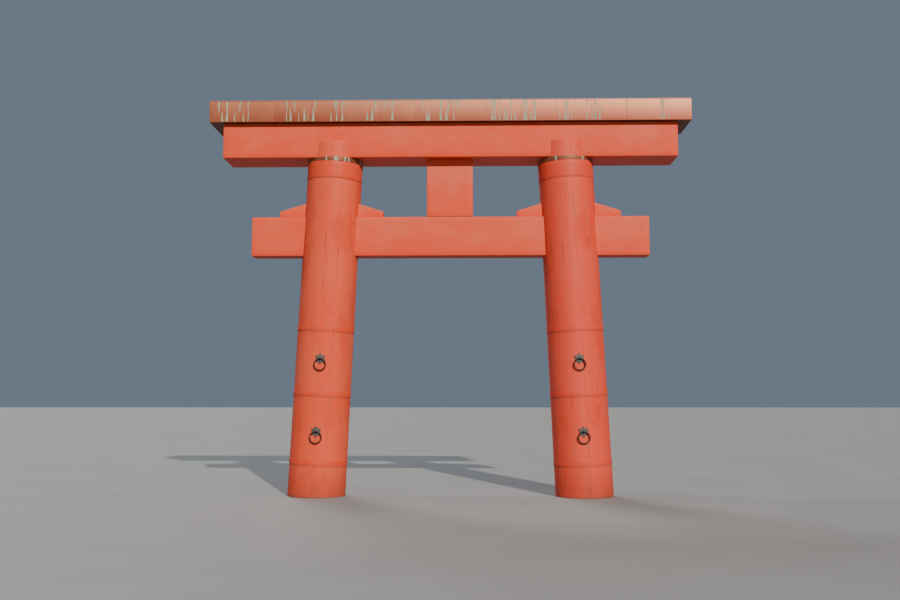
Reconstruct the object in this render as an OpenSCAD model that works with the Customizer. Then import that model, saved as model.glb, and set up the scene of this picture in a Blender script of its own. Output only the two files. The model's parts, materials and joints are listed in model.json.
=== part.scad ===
// Torii gate: two leaning round columns, a tie beam wedged through them, a strut,
// a second lintel let into the column tops, and a copper-clad top lintel.
// Four iron ring pulls hang on the fronts of the columns.
// +X runs along the lintels, +Y to the back, +Z up. The origin is on the ground, midway
// between the columns.

/* [Columns] */
// Distance between the column axes at the ground
column_spacing = 5730; // [4800:10:6900]
// Lean of each column towards the middle, in degrees
column_lean = 2.72; // [0:0.01:3.5]
// Diameter of a column at the ground
column_foot_d = 1236; // [1030:2:1500]
// Diameter of a column under the second lintel
column_neck_d = 1186; // [1060:2:1430]
// Diameter of the column tops that clasp the second lintel
column_top_d = 1150; // [1040:2:1380]
// Height of the column tops above the underside of the second lintel
column_top_rise = 365; // [200:5:600]

/* [Tie beam] */
// Length of the tie beam
tie_beam_l = 8605; // [8000:5:10400]
// Depth of the tie beam, front to back
tie_beam_d = 460; // [360:5:560]
// Height of the tie beam
tie_beam_h = 850; // [700:5:1020]
// Height of the tie beam's underside above the ground
tie_beam_z = 5145; // [4280:5:6180]

/* [Wedges] */
// Reach of a wedge from the column's axis
wedge_reach = 1125; // [950:5:1350]
// Depth of a wedge, front to back
wedge_d = 320; // [240:5:400]
// Height of a wedge at its thin outer end
wedge_tip_h = 135; // [100:5:170]
// Slope of a wedge's top, in degrees
wedge_slope = 17.2; // [12:0.1:21]
// Length of a wedge's heel that is housed in the column
wedge_heel = 170; // [120:5:240]

/* [Strut] */
// Width of the strut between the tie beam and the second lintel
strut_w = 1000; // [800:5:1200]
// Depth of the strut, front to back
strut_d = 420; // [340:5:500]
// Height of the strut
strut_h = 1260; // [1050:5:1510]

/* [Second lintel] */
// Length of the second lintel
second_lintel_l = 9815; // [8800:5:11800]
// Depth of the second lintel, front to back
second_lintel_d = 960; // [800:5:1060]
// Height of the second lintel
second_lintel_h = 755; // [640:5:890]

/* [Top lintel] */
// Length of the top lintel over its copper
top_lintel_l = 10370; // [9800:5:12400]
// Depth of the top lintel over its copper, front to back
top_lintel_d = 1240; // [1060:5:1500]
// Height of the top lintel's upright faces
top_lintel_h = 470; // [390:5:570]
// Rise of the ridge above the upright faces, which sheds the rain
ridge_rise = 60; // [20:5:120]
// Thickness of the copper cladding with its boarding
cladding_t = 14; // [8:1:24]

/* [Bands] */
// Height of a hoop round a column
hoop_h = 105; // [70:5:150]
// Thickness of a hoop
hoop_t = 8; // [5:1:14]
// Heights of the hoops' lower edges, measured up the column
hoop_rises = [672, 2126, 3509];
// Height of the band round each column's neck
neck_band_h = 375; // [300:5:450]
// Thickness of the neck band
neck_band_t = 3; // [2:0.5:6]
// Height of the copper collar under the second lintel
collar_h = 90; // [60:5:130]
// Thickness of the copper collar
collar_t = 6; // [4:1:10]

/* [Ring pulls] */
// Heights of the ring pulls, measured up the column
pull_rises = [1379, 2909];
// Diameter of a ring, at the middle of its wire
ring_d = 240; // [200:2:280]
// Diameter of a ring's wire
ring_wire_d = 26; // [20:1:32]
// Gap between a ring that hangs at rest and its star plate
ring_gap = 12; // [8:1:20]
// Radius of a star plate at its points
star_tip_r = 122; // [100:1:146]
// Radius of a star plate at its notches
star_notch_r = 90; // [75:1:98]
// Thickness of a star plate at its middle
star_t = 14; // [10:1:20]
// Diameter of an eye's wire
eye_wire_d = 16; // [12:1:20]

/* [Hidden] */
SIDE_NAMES = ["left", "right"];
LEVEL_NAMES = ["lower", "upper"];
WEDGE_NAMES = ["inner", "outer"];

$fn = 96;
VERMILION = "#d66a4c";
COPPER = "#c58a6c";
IRON = "#4a4744";
// Clearance between curved faces, and between joinery and its housing
fit = 0.3;
// Play of a ring's wire in its eye
ring_play = 2.5;
// Extra length that lets a cut run clear past a face
past = 50;
// Depth that a wedge's slope runs into the column before its level heel
shoulder_cover = 25;
star_points = 6;
// Sides of the round that hollows a star plate's back: a thin plate needs a fine one
star_back_fn = 360;
// Height of the boss on a star plate, and its gap to the eye's legs
star_boss_h = 5;
boss_gap = 1;

// Levels, from the ground up
tie_beam_top = tie_beam_z + tie_beam_h;
second_lintel_z = tie_beam_top + strut_h;
second_lintel_top = second_lintel_z + second_lintel_h;
column_top = second_lintel_z + column_top_rise;

// Distances up a column's own leaning axis
neck_rise = second_lintel_z / cos(column_lean);
top_rise = column_top / cos(column_lean);
collar_rise = neck_rise - collar_h;
neck_band_rise = collar_rise - neck_band_h;

// Wedges
wedge_shoulder = column_neck_d / 2 - shoulder_cover;
wedge_heel_h = wedge_tip_h + (wedge_reach - wedge_shoulder) * tan(wedge_slope);

// Eyes: the ring's wire lies just above the foot of its eye
eye_hole_r = ring_wire_d / 2 + ring_play;
eye_r = eye_hole_r + eye_wire_d / 2;
ring_drop = ring_play - fit;
ring_standoff = ring_gap + ring_wire_d / 2;
star_boss_r = eye_hole_r - boss_gap;

function side_sign(side) = side == "left" ? -1 : 1;
function column_r(rise) = (column_foot_d + (column_neck_d - column_foot_d) * rise / neck_rise) / 2;
function axis_x(side, z) = side_sign(side) * (column_spacing / 2 - z * tan(column_lean));
function star_face(rise) = column_r(rise) + star_t;

// Places its children on a column's leaning axis
module on_column(side) {
    translate([side_sign(side) * column_spacing / 2, 0, 0])
        rotate([0, -side_sign(side) * column_lean, 0])
            children();
}

// A bar along X, centred front to back and on the gate's middle
module bar(length, depth, height, z) {
    translate([-length / 2, -depth / 2, z])
        cube([length, depth, height]);
}

// The outside of a column between two rises, grown by a thickness
module shaft(low, high, grow = 0) {
    translate([0, 0, low])
        cylinder(h = high - low, r1 = column_r(low) + grow, r2 = column_r(high) + grow);
}

// A band that hugs the column between two rises
module band(low, high, thickness) {
    difference() {
        shaft(low, high, thickness);
        shaft(low - past, high + past, fit);
    }
}

// Housings in a column: for the tie beam, for both wedges and for the second lintel
module column_housings(side) {
    bar(tie_beam_l, tie_beam_d + 2 * fit, tie_beam_h + fit, tie_beam_z);
    for (which = WEDGE_NAMES)
        wedge_outline(side, which, fit);
    bar(second_lintel_l, second_lintel_d + 2 * fit, column_top_rise + past, second_lintel_z);
}

module column(side) {
    color(VERMILION) difference() {
        intersection() {
            on_column(side) {
                shaft(-past, neck_rise);
                translate([0, 0, neck_rise])
                    cylinder(h = top_rise - neck_rise + past, d1 = column_neck_d, d2 = column_top_d);
            }
            bar(2 * column_spacing, 2 * column_foot_d, column_top, 0);
        }
        column_housings(side);
    }
}

module hoop(side, rise) {
    color(VERMILION) on_column(side)
        band(rise, rise + hoop_h, hoop_t);
}

module neck_band(side) {
    color(VERMILION) on_column(side)
        band(neck_band_rise, collar_rise - fit, neck_band_t);
}

// The collar's foot is square to the column, and its top is level under the lintel
module collar(side) {
    color(COPPER) intersection() {
        on_column(side)
            band(collar_rise, neck_rise + past, collar_t);
        bar(2 * column_spacing, 2 * column_foot_d, second_lintel_z - fit, 0);
    }
}

module tie_beam() {
    color(VERMILION) bar(tie_beam_l, tie_beam_d, tie_beam_h, tie_beam_z);
}

module strut() {
    color(VERMILION) bar(strut_w, strut_d, strut_h, tie_beam_top);
}

module second_lintel() {
    color(VERMILION) bar(second_lintel_l, second_lintel_d, second_lintel_h, second_lintel_z);
}

// A wedge on the tie beam, or its housing when grown: a sloped toe and a level heel
module wedge_outline(side, which, grow = 0) {
    away = which == "outer" ? side_sign(side) : -side_sign(side);
    heel_end = wedge_shoulder - wedge_heel;
    translate([axis_x(side, tie_beam_top), wedge_d / 2 + grow, tie_beam_top])
        rotate([90, 0, 0])
            linear_extrude(wedge_d + 2 * grow)
                polygon([
                    [away * (heel_end - grow), 0],
                    [away * wedge_reach, 0],
                    [away * wedge_reach, wedge_tip_h + grow],
                    [away * wedge_shoulder, wedge_heel_h + grow],
                    [away * (heel_end - grow), wedge_heel_h + grow]]);
}

module wedge(side, which) {
    color(VERMILION) wedge_outline(side, which);
}

// Cross-section of the top lintel, front to back: upright faces under a low ridge
module top_lintel_profile(depth, height) {
    polygon([
        [-depth / 2, 0],
        [depth / 2, 0],
        [depth / 2, height],
        [0, height + ridge_rise * depth / top_lintel_d],
        [-depth / 2, height]]);
}

module along_top_lintel(length, lift = 0) {
    translate([-length / 2, 0, second_lintel_top + lift])
        rotate([90, 0, 90])
            linear_extrude(length)
                children();
}

module top_lintel() {
    core_h = top_lintel_h - 2 * cladding_t - fit;
    color(VERMILION) along_top_lintel(top_lintel_l - 2 * cladding_t, cladding_t)
        top_lintel_profile(top_lintel_d - 2 * cladding_t, core_h);
}

module roof_copper() {
    color(COPPER) along_top_lintel(top_lintel_l) difference() {
        top_lintel_profile(top_lintel_d, top_lintel_h);
        translate([0, -cladding_t])
            top_lintel_profile(top_lintel_d, top_lintel_h);
    }
}

// A fascia of the full length on the front (-1) or the back (1)
module face_copper(way) {
    color(COPPER) translate([0, way * (top_lintel_d - cladding_t) / 2, 0])
        bar(top_lintel_l, cladding_t, top_lintel_h - cladding_t, second_lintel_top);
}

// The copper underside, between the four fascias
module soffit_copper() {
    color(COPPER)
        bar(top_lintel_l - 2 * cladding_t, top_lintel_d - 2 * cladding_t, cladding_t, second_lintel_top);
}

// An end fascia, fitted between the front one and the back one
module end_copper(side) {
    color(COPPER) translate([side_sign(side) * (top_lintel_l - cladding_t) / 2, 0, 0])
        rotate([90, 0, 90])
            translate([0, second_lintel_top, -cladding_t / 2])
                linear_extrude(cladding_t)
                    top_lintel_profile(top_lintel_d - 2 * cladding_t, top_lintel_h - cladding_t);
}

// A star plate whose back follows the round column
module star(side, rise) {
    color(IRON) on_column(side) {
        difference() {
            translate([0, -column_r(rise) / 2, rise])
                rotate([90, 0, 0])
                    linear_extrude(star_face(rise) - column_r(rise) / 2)
                        polygon([for (i = [0 : 2 * star_points - 1])
                            let (r = i % 2 == 0 ? star_tip_r : star_notch_r, a = 90 + i * 180 / star_points)
                            [r * cos(a), r * sin(a)]]);
            shaft(rise - 2 * star_tip_r, rise + 2 * star_tip_r, fit, $fn = star_back_fn);
        }
        translate([0, star_t / 2 - star_face(rise), rise + ring_drop])
            rotate([90, 0, 0])
                cylinder(h = star_t / 2 + star_boss_h, r = star_boss_r);
    }
}

// A staple: half a torus that closes in front of the ring's wire, with two legs back to the plate
module eye(side, rise) {
    color(IRON) on_column(side)
        translate([0, -star_face(rise) - ring_standoff, rise + ring_drop])
            rotate([0, 90, 0]) {
                rotate([0, 0, 180])
                    rotate_extrude(angle = 180)
                        translate([eye_r, 0])
                            circle(d = eye_wire_d);
                for (end = [-1, 1])
                    translate([end * eye_r, 0, 0])
                        rotate([-90, 0, 0])
                            cylinder(h = ring_standoff, d = eye_wire_d);
            }
}

module ring(side, rise) {
    color(IRON) on_column(side)
        translate([0, -star_face(rise) - ring_standoff, rise - ring_d / 2])
            rotate([90, 0, 0])
                rotate_extrude()
                    translate([ring_d / 2, 0])
                        circle(d = ring_wire_d);
}

tie_beam();
strut();
second_lintel();
top_lintel();
roof_copper();
face_copper(-1);  // front_copper
face_copper(1);  // back_copper
soffit_copper();
for (side = SIDE_NAMES) {
    column(side);
    neck_band(side);
    collar(side);
    end_copper(side);
    for (i = [1 : len(hoop_rises)])
        hoop(side, hoop_rises[i - 1]);
    for (which = WEDGE_NAMES)
        wedge(side, which);
    for (i = [0 : 1]) {
        pull = str(side, "_", LEVEL_NAMES[i]);
        star(side, pull_rises[i]);
        eye(side, pull_rises[i]);
        ring(side, pull_rises[i]);
    }
}
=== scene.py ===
"""Dresses the frame of a timber torii gate: painted columns and beams, copper sheet over the
top lintel, iron hoops and ring pulls, a pale floor and studio light.

All lengths are in metres. +X runs along the lintels, +Y to the back, +Z up.
"""

import json
import math
import random

import bmesh
import bpy
import numpy as np
from bpy.props import (
    FloatProperty,
    FloatVectorProperty,
    IntProperty,
    PointerProperty,
)
from mathutils import Matrix, Vector, noise


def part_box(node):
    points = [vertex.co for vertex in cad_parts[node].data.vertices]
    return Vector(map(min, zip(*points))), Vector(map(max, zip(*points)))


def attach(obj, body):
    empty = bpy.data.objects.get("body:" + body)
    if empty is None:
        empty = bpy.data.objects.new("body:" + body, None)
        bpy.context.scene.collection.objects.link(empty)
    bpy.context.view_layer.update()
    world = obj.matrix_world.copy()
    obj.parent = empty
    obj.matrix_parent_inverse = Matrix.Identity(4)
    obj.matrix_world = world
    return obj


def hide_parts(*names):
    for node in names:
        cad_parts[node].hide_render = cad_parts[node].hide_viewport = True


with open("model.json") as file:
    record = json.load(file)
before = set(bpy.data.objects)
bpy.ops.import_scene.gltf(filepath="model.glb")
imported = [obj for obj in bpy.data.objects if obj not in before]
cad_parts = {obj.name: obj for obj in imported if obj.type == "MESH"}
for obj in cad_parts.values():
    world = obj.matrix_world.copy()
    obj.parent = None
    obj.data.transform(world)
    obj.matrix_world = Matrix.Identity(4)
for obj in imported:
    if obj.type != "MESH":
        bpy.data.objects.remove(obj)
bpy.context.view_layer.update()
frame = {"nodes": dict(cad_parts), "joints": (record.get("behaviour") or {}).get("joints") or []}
NODES = frame["nodes"]
JOINTS = {joint["name"]: joint for joint in frame["joints"]}
SIDES = ("left", "right")
LEVELS = ("lower", "upper")
HOOPS = (1, 2, 3)
ROOT = "gate"

bl_info = {
    "name": "Torii gate",
    "version": (1, 0, 0),
    "blender": (4, 5, 0),
    "location": "3D View > Sidebar > Torii gate",
    "description": "Dresses a torii gate's frame in painted timber, copper and iron",
    "category": "Add Mesh",
}


# ---------------------------------------------------------------------------
# Sizes and colours
# ---------------------------------------------------------------------------


def length(name, description, default):
    return FloatProperty(name=name, description=description, default=default, unit="LENGTH")


def colour(name, description, default):
    return FloatVectorProperty(
        name=name, description=description, default=default, subtype="COLOR", min=0, max=1
    )


def amount(name, description, default):
    return FloatProperty(name=name, description=description, default=default)


def degrees(name, description, default):
    return FloatProperty(
        name=name, description=description, default=math.radians(default), subtype="ANGLE"
    )


class TimberLook(bpy.types.PropertyGroup):
    arris: length("Arris", "Radius of the eased edges of the beams", 0.009)
    joinery_gap: length("Joinery gap", "Gap round a beam in its mortise", 0.001)
    ripple: length("Ripple", "Depth of the adze ripple on the beams", 0.0016)
    mesh_step: length("Mesh step", "Spacing of the vertices along the beams", 0.12)
    vermilion: colour("Vermilion", "Paint where it is deepest", (0.75, 0.060, 0.013))
    blush: colour("Blush", "Paint where the sun has bleached it", (0.74, 0.115, 0.052))
    deep: colour("Deep vermilion", "Paint in the darker runs", (0.60, 0.034, 0.006))
    rose: colour("Rose", "Paint where it has turned cooler", (0.72, 0.062, 0.040))
    # Grime and shade: real dirt in the joints and near the ground, and also painted shade under the
    # beams, under the hoops and at the strut's foot
    grime: colour("Grime", "Dirt in the joints and near the ground", (0.15, 0.065, 0.035))
    lichen: colour("Weathered mark", "Grey-green marks along the seams", (0.22, 0.15, 0.09))
    crack: colour("Crack", "Dark cracks along the seams", (0.075, 0.05, 0.035))


class StaveLook(bpy.types.PropertyGroup):
    seam_width: length("Seam width", "Width of the groove between two staves", 0.009)
    seam_depth: length("Seam depth", "Depth of the groove between two staves", 0.004)
    rim: length("Rim", "Rounding of a column's top edge", 0.012)
    rings: IntProperty(name="Rings", description="Rows of faces up a column", default=120)


class CopperLook(bpy.types.PropertyGroup):
    sheet_width: length("Sheet width", "Width of one copper sheet", 0.76)
    stand: length("Seam stand", "How far a seam stands proud of its sheets", 0.004)
    seam_width: length("Seam width", "Width of a folded seam", 0.012)
    gauge: length("Gauge", "Thickness of the cladding that shows", 0.009)
    pillow: length("Pillow", "Bulge of a sheet between its seams", 0.003)
    cap_stand: length("Cap stand", "Height of the ridge cap", 0.012)
    nail_radius: length("Nail radius", "Radius of a copper nail's head", 0.007)
    # Bright and dull copper blend up each sheet and along the lintel as a painted sheen
    bright: colour("Bright copper", "Copper at the top of a sheet", (0.60, 0.235, 0.125))
    dull: colour("Dull copper", "Copper at the foot of a sheet", (0.28, 0.052, 0.016))
    # A near-black copper: painted shade on the lintel's underside
    soffit: colour("Soffit copper", "Copper in the shade underneath", (0.075, 0.03, 0.014))
    verdigris: colour("Verdigris", "Green runs on the copper", (0.30, 0.385, 0.27))


class IronLook(bpy.types.PropertyGroup):
    hoop_rivet: length("Hoop rivet", "Radius of a rivet on a hoop", 0.012)
    wire_sides: IntProperty(name="Wire sides", description="Sides of the ring's wire", default=20)
    plate_edge: length("Plate edge", "Thickness of a star plate at its points", 0.006)
    plate: colour("Star plate", "Blackened iron of the star plates", (0.095, 0.092, 0.082))
    wire: colour("Ring", "Worn iron of the rings and eyes", (0.036, 0.028, 0.022))


class StudioLook(bpy.types.PropertyGroup):
    lens: amount("Lens", "Focal length in millimetres", 42.06)
    camera_place: FloatVectorProperty(
        name="Camera place",
        description="Where the camera stands",
        default=(0.51, -22.746, 2.073),
        subtype="TRANSLATION",
    )
    pitch: degrees("Pitch", "Tilt of the camera, upwards", 5.345)
    yaw: degrees("Yaw", "Turn of the camera, to the left", 1.29)
    sun_azimuth: degrees("Sun azimuth", "Turn of the key light from the front", 19)
    sun_height: degrees("Sun height", "Height of the key light above level", 28)
    sun_spread: degrees("Sun spread", "Softness of the key light's shadows", 1.2)
    sun_strength: amount("Sun strength", "Strength of the key light", 4.3)
    sun_colour: colour("Sun colour", "Warmth of the key light", (1.0, 0.93, 0.84))
    back_fill: amount("Back fill", "Fill from behind, as a share of the key light", 0.34)
    left_fill: amount("Left fill", "Fill from the left, as a share of the key light", 0.12)
    fill_tilt: degrees("Fill tilt", "Tilt of the fill lights from straight down", 55)
    fill_spread: degrees("Fill spread", "Softness of the fill lights' shadows", 25)
    fill_colour: colour("Fill colour", "Coolness of the fill lights", (0.92, 0.96, 1.0))
    sky_strength: amount("Sky strength", "Strength of the even light", 0.36)
    floor_colour: colour("Floor", "Pale studio floor", (0.29, 0.28, 0.268))
    backdrop: colour("Backdrop", "Plain even backdrop", (0.40, 0.52, 0.66))


# ---------------------------------------------------------------------------
# The frame's own measures
# ---------------------------------------------------------------------------

LINTEL_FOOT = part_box("second_lintel")[0].z
COLUMN_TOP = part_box("left_column")[1].z
# How far the bands stand out from a column, and the thickness of the cladding
COLLAR_STAND = 0.006
NECK_BAND_STAND = 0.003
HOOP_STAND = 0.008
CLADDING = 0.014
# How far the top lintel's core stops below its fascias' upper edge
CORE_DROP = 0.006
# Staves round a column, and the azimuth in degrees of the seam nearest the front
STAVES = {"left": (12, -4), "right": (13, 7)}
# Runs of verdigris on the collars: azimuth and half width, in rounded degrees
COLLAR_RUNS = {
    "left": (
        (-60, 2.0), (-12, 2.4), (8, 6.0), (27, 2.6), (35, 2.2), (71, 3.0), (130, 2.4), (171, 3.0),
        (-95, 2.2),
    ),
    "right": ((-24, 2.6), (34, 3.0), (98, 2.0), (-128, 3.0), (166, 2.4)),
}
# Where runs of verdigris gather on the lintel's long faces: place along it to 0.1 m, and how many
RUN_CLUSTERS = (
    (-4.9, 3), (-4.5, 4), (-3.4, 4), (-3.0, 4), (-2.4, 5), (-1.5, 7), (-0.5, 3), (0.0, 5),
    (0.9, 3), (1.2, 6), (1.7, 4), (2.5, 4), (3.1, 4), (3.8, 1), (4.6, 3),
)
# How a run starts and ends, from 0 at the top of a sheet to 1 at its foot
RUN_KINDS = ((0, 1), (0, 1), (0, 0.5), (0.1, 0.9), (0.4, 1), (0.6, 1))
# Spacing of the runs in a cluster
RUN_PITCH = 0.085
# A star plate from its edge to its middle: share of the outline, share of the height. The first
# ring, with no height, is let 1 mm into the column.
STAR_PROFILE = (
    (1.0, None), (1.0, 0.0), (0.985, 0.62), (0.955, 0.80), (0.90, 0.86), (0.84, 0.80), (0.80, 0.80),
    (0.72, 0.86), (0.55, 0.93), (0.42, 0.97), (0.36, 1.0), (0.2, 1.0), (0.08, 1.0),
)
STAR_POINTS = 6
X_WAY, Y_WAY, Z_WAY = Vector((1, 0, 0)), Vector((0, 1, 0)), Vector((0, 0, 1))


class Column:
    """A leaning column's axis and radii, worked out from the frame."""

    def __init__(self, side):
        self.side = side
        self.sign = -1 if side == "left" else 1
        hinge = JOINTS[f"{side}_lower_ring_swing"]
        axis, place = Vector(hinge["axis"]), Vector(hinge["pos_m"])
        self.lean = abs(math.atan2(axis.z, axis.x))
        if self.lean > math.pi / 2:
            self.lean = math.pi - self.lean
        self.foot_x = abs(place.x) + place.z * math.tan(self.lean)
        self.foot_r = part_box(f"{side}_column")[1].y
        self.neck_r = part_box(f"{side}_collar")[1].y - COLLAR_STAND
        self.neck_rise = LINTEL_FOOT / math.cos(self.lean)
        points = np.array([v.co[:] for v in NODES[f"{side}_column"].data.vertices])
        self.top_r = np.abs(points[points[:, 2] > COLUMN_TOP - 0.001, 1]).max()
        self.top_rise = COLUMN_TOP / math.cos(self.lean)
        turn = Matrix.Rotation(-self.sign * self.lean, 4, "Y")
        self.place = Matrix.Translation((self.sign * self.foot_x, 0, 0)) @ turn

    def radius(self, rise):
        if rise <= self.neck_rise:
            return self.foot_r + (self.neck_r - self.foot_r) * rise / self.neck_rise
        above = (rise - self.neck_rise) / (self.top_rise - self.neck_rise)
        return self.neck_r + (self.top_r - self.neck_r) * min(1, above)

    def rise(self, world_z, angle=None):
        """How far up the axis a level lies: on the axis, or on the surface at an angle."""
        rise = world_z / math.cos(self.lean)
        if angle is None:
            return rise
        for _ in range(3):
            across = self.radius(max(0, rise)) * math.sin(angle)
            rise = world_z / math.cos(self.lean) - self.sign * across * math.tan(self.lean)
        return rise

    def point(self, angle, rise, out=0.0):
        """A point on the surface. The angle runs from the front (0) towards +X."""
        radius = self.radius(max(0, rise)) + out
        local = Vector((radius * math.sin(angle), -radius * math.cos(angle), rise))
        return self.place @ local

    def local(self, x, y, z):
        """A point given in the column's own axes."""
        return self.place @ Vector((x, y, z))

    def corners(self, node):
        """A node's vertices, in the column's own axes."""
        back = self.place.inverted()
        return [back @ v.co for v in NODES[node].data.vertices]

    def span(self, node):
        """A node's lower and upper ends, measured up the column's axis."""
        rises = [corner.z for corner in self.corners(node)]
        return min(rises), max(rises)

    def way(self, x, y, z):
        """A direction given in the column's own axes."""
        return (self.place.to_3x3() @ Vector((x, y, z))).normalized()


# ---------------------------------------------------------------------------
# Mesh helpers
# ---------------------------------------------------------------------------


def link_piece(name, mesh):
    piece = bpy.data.objects.new(name, mesh)
    bpy.context.scene.collection.objects.link(piece)
    return piece


def new_piece(name, points, faces, material, sharp=32):
    mesh = bpy.data.meshes.new(name)
    mesh.from_pydata([tuple(p) for p in points], [], faces)
    mesh.validate()
    mesh.materials.append(material)
    piece = link_piece(name, mesh)
    soften(piece, sharp)
    return piece


def from_bmesh(name, bm, material, sharp=32):
    bmesh.ops.recalc_face_normals(bm, faces=bm.faces[:])
    mesh = bpy.data.meshes.new(name)
    bm.to_mesh(mesh)
    bm.free()
    mesh.materials.append(material)
    piece = link_piece(name, mesh)
    soften(piece, sharp)
    return piece


def soften(piece, sharp):
    """Shades a piece smooth, but for edges sharper than an angle in degrees."""
    piece.data.shade_smooth()
    piece.data.set_sharp_from_angle(angle=math.radians(sharp))


def outwards(piece):
    """Turns every face of a closed piece outwards."""
    bm = bmesh.new()
    bm.from_mesh(piece.data)
    bmesh.ops.recalc_face_normals(bm, faces=bm.faces[:])
    bm.to_mesh(piece.data)
    bm.free()


def settle(piece):
    """Makes the piece's modifiers part of its plain mesh."""
    evaluated = piece.evaluated_get(bpy.context.evaluated_depsgraph_get())
    mesh = bpy.data.meshes.new_from_object(evaluated)
    piece.modifiers.clear()
    piece.data = mesh
    mesh.name = piece.name


def dress(piece, slot, body, *nodes):
    """Hands a finished piece to the frame."""
    if not piece.data.polygons:
        raise RuntimeError(f"{piece.name} came out empty")
    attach(piece, body)
    if nodes:
        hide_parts(*nodes)


def mark(piece, name, values):
    """Keeps one number for each vertex, for the materials to read."""
    attribute = piece.data.attributes.new(name, "FLOAT", "POINT")
    attribute.data.foreach_set("value", np.asarray(values, dtype=np.float32))


def ripple(bm, depth, seed):
    """Presses the faces in by a slow, uneven ripple, as an adze and a plane leave them."""
    bm.normal_update()
    moves = []
    for vertex in bm.verts:
        spot = vertex.co * Vector((0.9, 2.2, 2.6)) + Vector((seed, 0, 0))
        moves.append(vertex.normal * (-depth * (0.5 + 0.5 * noise.noise(spot))))
    for vertex, move in zip(bm.verts, moves):
        vertex.co += move


def ease(bm, radius):
    """Rounds every edge of a solid."""
    bmesh.ops.bevel(bm, geom=bm.edges[:], offset=radius, segments=3, profile=0.5, affect="EDGES")


def slice_up(bm, low, high, step):
    """Cuts a solid across at even steps, so that it can be shaped and shaded finely."""
    for axis in range(3):
        count = max(1, round((high[axis] - low[axis]) / step))
        for i in range(1, count):
            place = Vector((0, 0, 0))
            place[axis] = low[axis] + (high[axis] - low[axis]) * i / count
            normal = Vector((0, 0, 0))
            normal[axis] = 1
            geometry = bm.verts[:] + bm.edges[:] + bm.faces[:]
            bmesh.ops.bisect_plane(bm, geom=geometry, plane_co=place, plane_no=normal)


def timber(name, low, high, material, look, seed):
    """A squared beam with eased edges and a faint ripple."""
    bm = bmesh.new()
    bmesh.ops.create_cube(bm, size=1)
    for vertex in bm.verts:
        for axis in range(3):
            vertex.co[axis] = high[axis] if vertex.co[axis] > 0 else low[axis]
    ease(bm, look.arris)
    slice_up(bm, low, high, look.mesh_step)
    ripple(bm, look.ripple, seed)
    return from_bmesh(name, bm, material)


def prism(name, outline, depth, material, look, seed):
    """A solid with an outline in X and Z, centred front to back, with eased edges."""
    bm = bmesh.new()
    front = [bm.verts.new((x, -depth / 2, z)) for x, z in outline]
    back = [bm.verts.new((x, depth / 2, z)) for x, z in outline]
    count = len(outline)
    bm.faces.new(front)
    bm.faces.new(back[::-1])
    for i in range(count):
        j = (i + 1) % count
        bm.faces.new((front[j], front[i], back[i], back[j]))
    bmesh.ops.recalc_face_normals(bm, faces=bm.faces[:])
    ease(bm, look.arris * 0.7)
    xs, zs = [p[0] for p in outline], [p[1] for p in outline]
    slice_up(bm, (min(xs), -depth / 2, min(zs)), (max(xs), depth / 2, max(zs)), look.mesh_step)
    ripple(bm, look.ripple, seed)
    return from_bmesh(name, bm, material)


def ring_faces(rings, count, closed=False):
    """Faces between rings of points, each ring joined round on itself."""
    faces = []
    for i in range(rings if closed else rings - 1):
        a, b = i * count, (i + 1) % rings * count
        for j in range(count):
            k = (j + 1) % count
            faces.append((a + j, a + k, b + k, b + j))
    return faces


def tube(name, rings, material, closed=True, sharp=32):
    """Joins rings of points into a tube that closes on itself, or has flat ends."""
    count = len(rings[0])
    points = [p for ring in rings for p in ring]
    faces = ring_faces(len(rings), count, closed)
    if not closed:
        faces.append(tuple(range(count - 1, -1, -1)))
        faces.append(tuple(range((len(rings) - 1) * count, len(rings) * count)))
    piece = new_piece(name, points, faces, material, sharp)
    outwards(piece)
    return piece


def wire(name, path, radius, sides, material, closed):
    """A round wire along a path, with a slightly uneven, forged section."""
    rings = []
    count = len(path)
    side_way = None
    for i, place in enumerate(path):
        before = path[i - 1] if closed or i else path[0]
        after = path[(i + 1) % count] if closed or i < count - 1 else path[-1]
        along = (after - before).normalized()
        if side_way is None:
            side_way = along.orthogonal().normalized()
        side_way = (side_way - along * side_way.dot(along)).normalized()
        across = along.cross(side_way)
        ring = []
        for j in range(sides):
            turn = 2 * math.pi * j / sides
            way = side_way * math.cos(turn) + across * math.sin(turn)
            dent = 0.035 * (0.5 + 0.5 * noise.noise((place + way * radius) * 55))
            ring.append(place + way * radius * (1 - dent))
        rings.append(ring)
    return tube(name, rings, material, closed=closed, sharp=60)


def cut(piece, cutters):
    """Cuts solids out of a piece and throws the cutters away."""
    for cutter in cutters:
        modifier = piece.modifiers.new(cutter.name, "BOOLEAN")
        modifier.operation = "DIFFERENCE"
        modifier.solver = "EXACT"
        modifier.object = cutter
    settle(piece)
    for cutter in cutters:
        bpy.data.objects.remove(cutter)


def cutter(name, outline, depth):
    """A plain solid with an outline in X and Z, centred front to back."""
    count = len(outline)
    points = [(x, -depth / 2, z) for x, z in outline] + [(x, depth / 2, z) for x, z in outline]
    faces = [tuple(range(count)), tuple(range(2 * count - 1, count - 1, -1))]
    for i in range(count):
        j = (i + 1) % count
        faces.append((j, i, count + i, count + j))
    mesh = bpy.data.meshes.new(name)
    mesh.from_pydata(points, [], faces)
    piece = link_piece(name, mesh)
    outwards(piece)
    return piece


def box_outline(low, high, grow):
    """A box's outline in X and Z, grown on every side."""
    return [
        (low.x - grow, low.z - grow),
        (high.x + grow, low.z - grow),
        (high.x + grow, high.z + grow),
        (low.x - grow, high.z + grow),
    ]


# ---------------------------------------------------------------------------
# Geometry Nodes: what repeats
# ---------------------------------------------------------------------------


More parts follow.
